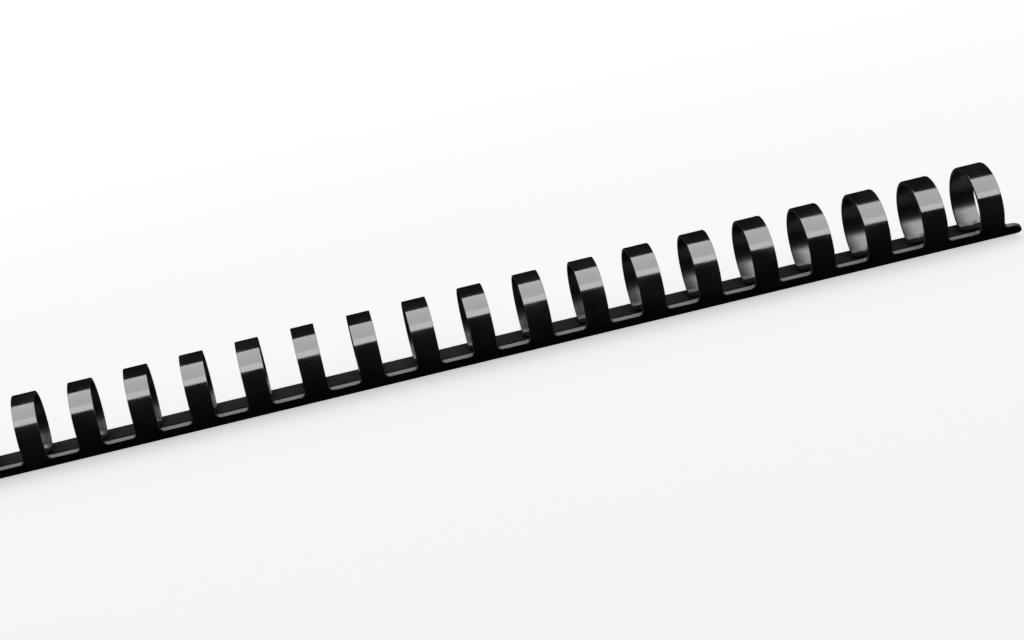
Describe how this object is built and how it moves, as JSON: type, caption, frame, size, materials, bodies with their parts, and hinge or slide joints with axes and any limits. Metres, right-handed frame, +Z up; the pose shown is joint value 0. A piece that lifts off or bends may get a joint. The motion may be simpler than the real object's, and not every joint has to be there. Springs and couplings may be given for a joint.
{
  "type": "plastic binding comb",
  "caption": "Rolled black plastic comb binding spine: a long curved strip with a row of springy fingers that curl into rings to hold punched sheets.",
  "frame": {"origin": "centre of the footprint, on the surface that the spine's rest land stands on", "axes": "+X along the comb, +Y from the finger roots at the front towards the finger tips and the lip at the back, +Z up, from the spine to the tops of the rings"},
  "size_m": [0.273, 0.0192, 0.0194],
  "materials": {
    "black_pvc": "glossy rolled PVC sheet, near black"
  },
  "bodies": {
    "spine": {"spine": "black_pvc"},
    "finger_01_root": {"finger_01_root": "black_pvc"},
    "finger_01_mid": {"finger_01_mid": "black_pvc"},
    "finger_01_tip": {"finger_01_tip": "black_pvc"},
    "finger_02_root": {"finger_02_root": "black_pvc"},
    "finger_02_mid": {"finger_02_mid": "black_pvc"},
    "finger_02_tip": {"finger_02_tip": "black_pvc"},
    "finger_03_root": {"finger_03_root": "black_pvc"},
    "finger_03_mid": {"finger_03_mid": "black_pvc"},
    "finger_03_tip": {"finger_03_tip": "black_pvc"},
    "finger_04_root": {"finger_04_root": "black_pvc"},
    "finger_04_mid": {"finger_04_mid": "black_pvc"},
    "finger_04_tip": {"finger_04_tip": "black_pvc"},
    "finger_05_root": {"finger_05_root": "black_pvc"},
    "finger_05_mid": {"finger_05_mid": "black_pvc"},
    "finger_05_tip": {"finger_05_tip": "black_pvc"},
    "finger_06_root": {"finger_06_root": "black_pvc"},
    "finger_06_mid": {"finger_06_mid": "black_pvc"},
    "finger_06_tip": {"finger_06_tip": "black_pvc"},
    "finger_07_root": {"finger_07_root": "black_pvc"},
    "finger_07_mid": {"finger_07_mid": "black_pvc"},
    "finger_07_tip": {"finger_07_tip": "black_pvc"},
    "finger_08_root": {"finger_08_root": "black_pvc"},
    "finger_08_mid": {"finger_08_mid": "black_pvc"},
    "finger_08_tip": {"finger_08_tip": "black_pvc"},
    "finger_09_root": {"finger_09_root": "black_pvc"},
    "finger_09_mid": {"finger_09_mid": "black_pvc"},
    "finger_09_tip": {"finger_09_tip": "black_pvc"},
    "finger_10_root": {"finger_10_root": "black_pvc"},
    "finger_10_mid": {"finger_10_mid": "black_pvc"},
    "finger_10_tip": {"finger_10_tip": "black_pvc"},
    "finger_11_root": {"finger_11_root": "black_pvc"},
    "finger_11_mid": {"finger_11_mid": "black_pvc"},
    "finger_11_tip": {"finger_11_tip": "black_pvc"},
    "finger_12_root": {"finger_12_root": "black_pvc"},
    "finger_12_mid": {"finger_12_mid": "black_pvc"},
    "finger_12_tip": {"finger_12_tip": "black_pvc"},
    "finger_13_root": {"finger_13_root": "black_pvc"},
    "finger_13_mid": {"finger_13_mid": "black_pvc"},
    "finger_13_tip": {"finger_13_tip": "black_pvc"},
    "finger_14_root": {"finger_14_root": "black_pvc"},
    "finger_14_mid": {"finger_14_mid": "black_pvc"},
    "finger_14_tip": {"finger_14_tip": "black_pvc"},
    "finger_15_root": {"finger_15_root": "black_pvc"},
    "finger_15_mid": {"finger_15_mid": "black_pvc"},
    "finger_15_tip": {"finger_15_tip": "black_pvc"},
    "finger_16_root": {"finger_16_root": "black_pvc"},
    "finger_16_mid": {"finger_16_mid": "black_pvc"},
    "finger_16_tip": {"finger_16_tip": "black_pvc"},
    "finger_17_root": {"finger_17_root": "black_pvc"},
    "finger_17_mid": {"finger_17_mid": "black_pvc"},
    "finger_17_tip": {"finger_17_tip": "black_pvc"},
    "finger_18_root": {"finger_18_root": "black_pvc"},
    "finger_18_mid": {"finger_18_mid": "black_pvc"},
    "finger_18_tip": {"finger_18_tip": "black_pvc"},
    "finger_19_root": {"finger_19_root": "black_pvc"},
    "finger_19_mid": {"finger_19_mid": "black_pvc"},
    "finger_19_tip": {"finger_19_tip": "black_pvc"}
  },
  "joints": [
    {"name": "finger_01_root_flex", "type": "hinge", "parent": "spine", "child": "finger_01_root", "pos_m": [-0.12859, -0.00844, 0.00505], "axis": [1, 0, 0], "range_deg": [0, 34], "stiffness_Nm_per_rad": 0.27},
    {"name": "finger_01_mid_flex", "type": "hinge", "parent": "finger_01_root", "child": "finger_01_mid", "pos_m": [-0.12859, -0.005, 0.01797], "axis": [1, 0, 0], "range_deg": [0, 34]},
    {"name": "finger_01_tip_flex", "type": "hinge", "parent": "finger_01_mid", "child": "finger_01_tip", "pos_m": [-0.12859, 0.00802, 0.0151], "axis": [1, 0, 0], "range_deg": [0, 34]},
    {"name": "finger_02_root_flex", "type": "hinge", "parent": "spine", "child": "finger_02_root", "pos_m": [-0.1143, -0.00844, 0.00505], "axis": [1, 0, 0], "range_deg": [0, 34], "stiffness_Nm_per_rad": 0.27},
    {"name": "finger_02_mid_flex", "type": "hinge", "parent": "finger_02_root", "child": "finger_02_mid", "pos_m": [-0.1143, -0.005, 0.01797], "axis": [1, 0, 0], "range_deg": [0, 34]},
    {"name": "finger_02_tip_flex", "type": "hinge", "parent": "finger_02_mid", "child": "finger_02_tip", "pos_m": [-0.1143, 0.00802, 0.0151], "axis": [1, 0, 0], "range_deg": [0, 34]},
    {"name": "finger_03_root_flex", "type": "hinge", "parent": "spine", "child": "finger_03_root", "pos_m": [-0.10001, -0.00844, 0.00505], "axis": [1, 0, 0], "range_deg": [0, 34], "stiffness_Nm_per_rad": 0.27},
    {"name": "finger_03_mid_flex", "type": "hinge", "parent": "finger_03_root", "child": "finger_03_mid", "pos_m": [-0.10001, -0.005, 0.01797], "axis": [1, 0, 0], "range_deg": [0, 34]},
    {"name": "finger_03_tip_flex", "type": "hinge", "parent": "finger_03_mid", "child": "finger_03_tip", "pos_m": [-0.10001, 0.00802, 0.0151], "axis": [1, 0, 0], "range_deg": [0, 34]},
    {"name": "finger_04_root_flex", "type": "hinge", "parent": "spine", "child": "finger_04_root", "pos_m": [-0.08572, -0.00844, 0.00505], "axis": [1, 0, 0], "range_deg": [0, 34], "stiffness_Nm_per_rad": 0.27},
    {"name": "finger_04_mid_flex", "type": "hinge", "parent": "finger_04_root", "child": "finger_04_mid", "pos_m": [-0.08572, -0.005, 0.01797], "axis": [1, 0, 0], "range_deg": [0, 34]},
    {"name": "finger_04_tip_flex", "type": "hinge", "parent": "finger_04_mid", "child": "finger_04_tip", "pos_m": [-0.08572, 0.00802, 0.0151], "axis": [1, 0, 0], "range_deg": [0, 34]},
    {"name": "finger_05_root_flex", "type": "hinge", "parent": "spine", "child": "finger_05_root", "pos_m": [-0.07144, -0.00844, 0.00505], "axis": [1, 0, 0], "range_deg": [0, 34], "stiffness_Nm_per_rad": 0.27},
    {"name": "finger_05_mid_flex", "type": "hinge", "parent": "finger_05_root", "child": "finger_05_mid", "pos_m": [-0.07144, -0.005, 0.01797], "axis": [1, 0, 0], "range_deg": [0, 34]},
    {"name": "finger_05_tip_flex", "type": "hinge", "parent": "finger_05_mid", "child": "finger_05_tip", "pos_m": [-0.07144, 0.00802, 0.0151], "axis": [1, 0, 0], "range_deg": [0, 34]},
    {"name": "finger_06_root_flex", "type": "hinge", "parent": "spine", "child": "finger_06_root", "pos_m": [-0.05715, -0.00844, 0.00505], "axis": [1, 0, 0], "range_deg": [0, 34], "stiffness_Nm_per_rad": 0.27},
    {"name": "finger_06_mid_flex", "type": "hinge", "parent": "finger_06_root", "child": "finger_06_mid", "pos_m": [-0.05715, -0.005, 0.01797], "axis": [1, 0, 0], "range_deg": [0, 34]},
    {"name": "finger_06_tip_flex", "type": "hinge", "parent": "finger_06_mid", "child": "finger_06_tip", "pos_m": [-0.05715, 0.00802, 0.0151], "axis": [1, 0, 0], "range_deg": [0, 34]},
    {"name": "finger_07_root_flex", "type": "hinge", "parent": "spine", "child": "finger_07_root", "pos_m": [-0.04286, -0.00844, 0.00505], "axis": [1, 0, 0], "range_deg": [0, 34], "stiffness_Nm_per_rad": 0.27},
    {"name": "finger_07_mid_flex", "type": "hinge", "parent": "finger_07_root", "child": "finger_07_mid", "pos_m": [-0.04286, -0.005, 0.01797], "axis": [1, 0, 0], "range_deg": [0, 34]},
    {"name": "finger_07_tip_flex", "type": "hinge", "parent": "finger_07_mid", "child": "finger_07_tip", "pos_m": [-0.04286, 0.00802, 0.0151], "axis": [1, 0, 0], "range_deg": [0, 34]},
    {"name": "finger_08_root_flex", "type": "hinge", "parent": "spine", "child": "finger_08_root", "pos_m": [-0.02857, -0.00844, 0.00505], "axis": [1, 0, 0], "range_deg": [0, 34], "stiffness_Nm_per_rad": 0.27},
    {"name": "finger_08_mid_flex", "type": "hinge", "parent": "finger_08_root", "child": "finger_08_mid", "pos_m": [-0.02857, -0.005, 0.01797], "axis": [1, 0, 0], "range_deg": [0, 34]},
    {"name": "finger_08_tip_flex", "type": "hinge", "parent": "finger_08_mid", "child": "finger_08_tip", "pos_m": [-0.02857, 0.00802, 0.0151], "axis": [1, 0, 0], "range_deg": [0, 34]},
    {"name": "finger_09_root_flex", "type": "hinge", "parent": "spine", "child": "finger_09_root", "pos_m": [-0.01429, -0.00844, 0.00505], "axis": [1, 0, 0], "range_deg": [0, 34], "stiffness_Nm_per_rad": 0.27},
    {"name": "finger_09_mid_flex", "type": "hinge", "parent": "finger_09_root", "child": "finger_09_mid", "pos_m": [-0.01429, -0.005, 0.01797], "axis": [1, 0, 0], "range_deg": [0, 34]},
    {"name": "finger_09_tip_flex", "type": "hinge", "parent": "finger_09_mid", "child": "finger_09_tip", "pos_m": [-0.01429, 0.00802, 0.0151], "axis": [1, 0, 0], "range_deg": [0, 34]},
    {"name": "finger_10_root_flex", "type": "hinge", "parent": "spine", "child": "finger_10_root", "pos_m": [0, -0.00844, 0.00505], "axis": [1, 0, 0], "range_deg": [0, 34], "stiffness_Nm_per_rad": 0.27},
    {"name": "finger_10_mid_flex", "type": "hinge", "parent": "finger_10_root", "child": "finger_10_mid", "pos_m": [0, -0.005, 0.01797], "axis": [1, 0, 0], "range_deg": [0, 34]},
    {"name": "finger_10_tip_flex", "type": "hinge", "parent": "finger_10_mid", "child": "finger_10_tip", "pos_m": [0, 0.00802, 0.0151], "axis": [1, 0, 0], "range_deg": [0, 34]},
    {"name": "finger_11_root_flex", "type": "hinge", "parent": "spine", "child": "finger_11_root", "pos_m": [0.01429, -0.00844, 0.00505], "axis": [1, 0, 0], "range_deg": [0, 34], "stiffness_Nm_per_rad": 0.27},
    {"name": "finger_11_mid_flex", "type": "hinge", "parent": "finger_11_root", "child": "finger_11_mid", "pos_m": [0.01429, -0.005, 0.01797], "axis": [1, 0, 0], "range_deg": [0, 34]},
    {"name": "finger_11_tip_flex", "type": "hinge", "parent": "finger_11_mid", "child": "finger_11_tip", "pos_m": [0.01429, 0.00802, 0.0151], "axis": [1, 0, 0], "range_deg": [0, 34]},
    {"name": "finger_12_root_flex", "type": "hinge", "parent": "spine", "child": "finger_12_root", "pos_m": [0.02857, -0.00844, 0.00505], "axis": [1, 0, 0], "range_deg": [0, 34], "stiffness_Nm_per_rad": 0.27},
    {"name": "finger_12_mid_flex", "type": "hinge", "parent": "finger_12_root", "child": "finger_12_mid", "pos_m": [0.02857, -0.005, 0.01797], "axis": [1, 0, 0], "range_deg": [0, 34]},
    {"name": "finger_12_tip_flex", "type": "hinge", "parent": "finger_12_mid", "child": "finger_12_tip", "pos_m": [0.02857, 0.00802, 0.0151], "axis": [1, 0, 0], "range_deg": [0, 34]},
    {"name": "finger_13_root_flex", "type": "hinge", "parent": "spine", "child": "finger_13_root", "pos_m": [0.04286, -0.00844, 0.00505], "axis": [1, 0, 0], "range_deg": [0, 34], "stiffness_Nm_per_rad": 0.27},
    {"name": "finger_13_mid_flex", "type": "hinge", "parent": "finger_13_root", "child": "finger_13_mid", "pos_m": [0.04286, -0.005, 0.01797], "axis": [1, 0, 0], "range_deg": [0, 34]},
    {"name": "finger_13_tip_flex", "type": "hinge", "parent": "finger_13_mid", "child": "finger_13_tip", "pos_m": [0.04286, 0.00802, 0.0151], "axis": [1, 0, 0], "range_deg": [0, 34]},
    {"name": "finger_14_root_flex", "type": "hinge", "parent": "spine", "child": "finger_14_root", "pos_m": [0.05715, -0.00844, 0.00505], "axis": [1, 0, 0], "range_deg": [0, 34], "stiffness_Nm_per_rad": 0.27},
    {"name": "finger_14_mid_flex", "type": "hinge", "parent": "finger_14_root", "child": "finger_14_mid", "pos_m": [0.05715, -0.005, 0.01797], "axis": [1, 0, 0], "range_deg": [0, 34]},
    {"name": "finger_14_tip_flex", "type": "hinge", "parent": "finger_14_mid", "child": "finger_14_tip", "pos_m": [0.05715, 0.00802, 0.0151], "axis": [1, 0, 0], "range_deg": [0, 34]},
    {"name": "finger_15_root_flex", "type": "hinge", "parent": "spine", "child": "finger_15_root", "pos_m": [0.07144, -0.00844, 0.00505], "axis": [1, 0, 0], "range_deg": [0, 34], "stiffness_Nm_per_rad": 0.27},
    {"name": "finger_15_mid_flex", "type": "hinge", "parent": "finger_15_root", "child": "finger_15_mid", "pos_m": [0.07144, -0.005, 0.01797], "axis": [1, 0, 0], "range_deg": [0, 34]},
    {"name": "finger_15_tip_flex", "type": "hinge", "parent": "finger_15_mid", "child": "finger_15_tip", "pos_m": [0.07144, 0.00802, 0.0151], "axis": [1, 0, 0], "range_deg": [0, 34]},
    {"name": "finger_16_root_flex", "type": "hinge", "parent": "spine", "child": "finger_16_root", "pos_m": [0.08572, -0.00844, 0.00505], "axis": [1, 0, 0], "range_deg": [0, 34], "stiffness_Nm_per_rad": 0.27},
    {"name": "finger_16_mid_flex", "type": "hinge", "parent": "finger_16_root", "child": "finger_16_mid", "pos_m": [0.08572, -0.005, 0.01797], "axis": [1, 0, 0], "range_deg": [0, 34]},
    {"name": "finger_16_tip_flex", "type": "hinge", "parent": "finger_16_mid", "child": "finger_16_tip", "pos_m": [0.08572, 0.00802, 0.0151], "axis": [1, 0, 0], "range_deg": [0, 34]},
    {"name": "finger_17_root_flex", "type": "hinge", "parent": "spine", "child": "finger_17_root", "pos_m": [0.10001, -0.00844, 0.00505], "axis": [1, 0, 0], "range_deg": [0, 34], "stiffness_Nm_per_rad": 0.27},
    {"name": "finger_17_mid_flex", "type": "hinge", "parent": "finger_17_root", "child": "finger_17_mid", "pos_m": [0.10001, -0.005, 0.01797], "axis": [1, 0, 0], "range_deg": [0, 34]},
    {"name": "finger_17_tip_flex", "type": "hinge", "parent": "finger_17_mid", "child": "finger_17_tip", "pos_m": [0.10001, 0.00802, 0.0151], "axis": [1, 0, 0], "range_deg": [0, 34]},
    {"name": "finger_18_root_flex", "type": "hinge", "parent": "spine", "child": "finger_18_root", "pos_m": [0.1143, -0.00844, 0.00505], "axis": [1, 0, 0], "range_deg": [0, 34], "stiffness_Nm_per_rad": 0.27},
    {"name": "finger_18_mid_flex", "type": "hinge", "parent": "finger_18_root", "child": "finger_18_mid", "pos_m": [0.1143, -0.005, 0.01797], "axis": [1, 0, 0], "range_deg": [0, 34]},
    {"name": "finger_18_tip_flex", "type": "hinge", "parent": "finger_18_mid", "child": "finger_18_tip", "pos_m": [0.1143, 0.00802, 0.0151], "axis": [1, 0, 0], "range_deg": [0, 34]},
    {"name": "finger_19_root_flex", "type": "hinge", "parent": "spine", "child": "finger_19_root", "pos_m": [0.12859, -0.00844, 0.00505], "axis": [1, 0, 0], "range_deg": [0, 34], "stiffness_Nm_per_rad": 0.27},
    {"name": "finger_19_mid_flex", "type": "hinge", "parent": "finger_19_root", "child": "finger_19_mid", "pos_m": [0.12859, -0.005, 0.01797], "axis": [1, 0, 0], "range_deg": [0, 34]},
    {"name": "finger_19_tip_flex", "type": "hinge", "parent": "finger_19_mid", "child": "finger_19_tip", "pos_m": [0.12859, 0.00802, 0.0151], "axis": [1, 0, 0], "range_deg": [0, 34]}
  ],
  "couplings": [
    {"joint": "finger_01_mid_flex", "follows": "finger_01_root_flex", "ratio": 1},
    {"joint": "finger_01_tip_flex", "follows": "finger_01_root_flex", "ratio": 1},
    {"joint": "finger_02_mid_flex", "follows": "finger_02_root_flex", "ratio": 1},
    {"joint": "finger_02_tip_flex", "follows": "finger_02_root_flex", "ratio": 1},
    {"joint": "finger_03_mid_flex", "follows": "finger_03_root_flex", "ratio": 1},
    {"joint": "finger_03_tip_flex", "follows": "finger_03_root_flex", "ratio": 1},
    {"joint": "finger_04_mid_flex", "follows": "finger_04_root_flex", "ratio": 1},
    {"joint": "finger_04_tip_flex", "follows": "finger_04_root_flex", "ratio": 1},
    {"joint": "finger_05_mid_flex", "follows": "finger_05_root_flex", "ratio": 1},
    {"joint": "finger_05_tip_flex", "follows": "finger_05_root_flex", "ratio": 1},
    {"joint": "finger_06_mid_flex", "follows": "finger_06_root_flex", "ratio": 1},
    {"joint": "finger_06_tip_flex", "follows": "finger_06_root_flex", "ratio": 1},
    {"joint": "finger_07_mid_flex", "follows": "finger_07_root_flex", "ratio": 1},
    {"joint": "finger_07_tip_flex", "follows": "finger_07_root_flex", "ratio": 1},
    {"joint": "finger_08_mid_flex", "follows": "finger_08_root_flex", "ratio": 1},
    {"joint": "finger_08_tip_flex", "follows": "finger_08_root_flex", "ratio": 1},
    {"joint": "finger_09_mid_flex", "follows": "finger_09_root_flex", "ratio": 1},
    {"joint": "finger_09_tip_flex", "follows": "finger_09_root_flex", "ratio": 1},
    {"joint": "finger_10_mid_flex", "follows": "finger_10_root_flex", "ratio": 1},
    {"joint": "finger_10_tip_flex", "follows": "finger_10_root_flex", "ratio": 1},
    {"joint": "finger_11_mid_flex", "follows": "finger_11_root_flex", "ratio": 1},
    {"joint": "finger_11_tip_flex", "follows": "finger_11_root_flex", "ratio": 1},
    {"joint": "finger_12_mid_flex", "follows": "finger_12_root_flex", "ratio": 1},
    {"joint": "finger_12_tip_flex", "follows": "finger_12_root_flex", "ratio": 1},
    {"joint": "finger_13_mid_flex", "follows": "finger_13_root_flex", "ratio": 1},
    {"joint": "finger_13_tip_flex", "follows": "finger_13_root_flex", "ratio": 1},
    {"joint": "finger_14_mid_flex", "follows": "finger_14_root_flex", "ratio": 1},
    {"joint": "finger_14_tip_flex", "follows": "finger_14_root_flex", "ratio": 1},
    {"joint": "finger_15_mid_flex", "follows": "finger_15_root_flex", "ratio": 1},
    {"joint": "finger_15_tip_flex", "follows": "finger_15_root_flex", "ratio": 1},
    {"joint": "finger_16_mid_flex", "follows": "finger_16_root_flex", "ratio": 1},
    {"joint": "finger_16_tip_flex", "follows": "finger_16_root_flex", "ratio": 1},
    {"joint": "finger_17_mid_flex", "follows": "finger_17_root_flex", "ratio": 1},
    {"joint": "finger_17_tip_flex", "follows": "finger_17_root_flex", "ratio": 1},
    {"joint": "finger_18_mid_flex", "follows": "finger_18_root_flex", "ratio": 1},
    {"joint": "finger_18_tip_flex", "follows": "finger_18_root_flex", "ratio": 1},
    {"joint": "finger_19_mid_flex", "follows": "finger_19_root_flex", "ratio": 1},
    {"joint": "finger_19_tip_flex", "follows": "finger_19_root_flex", "ratio": 1}
  ]
}
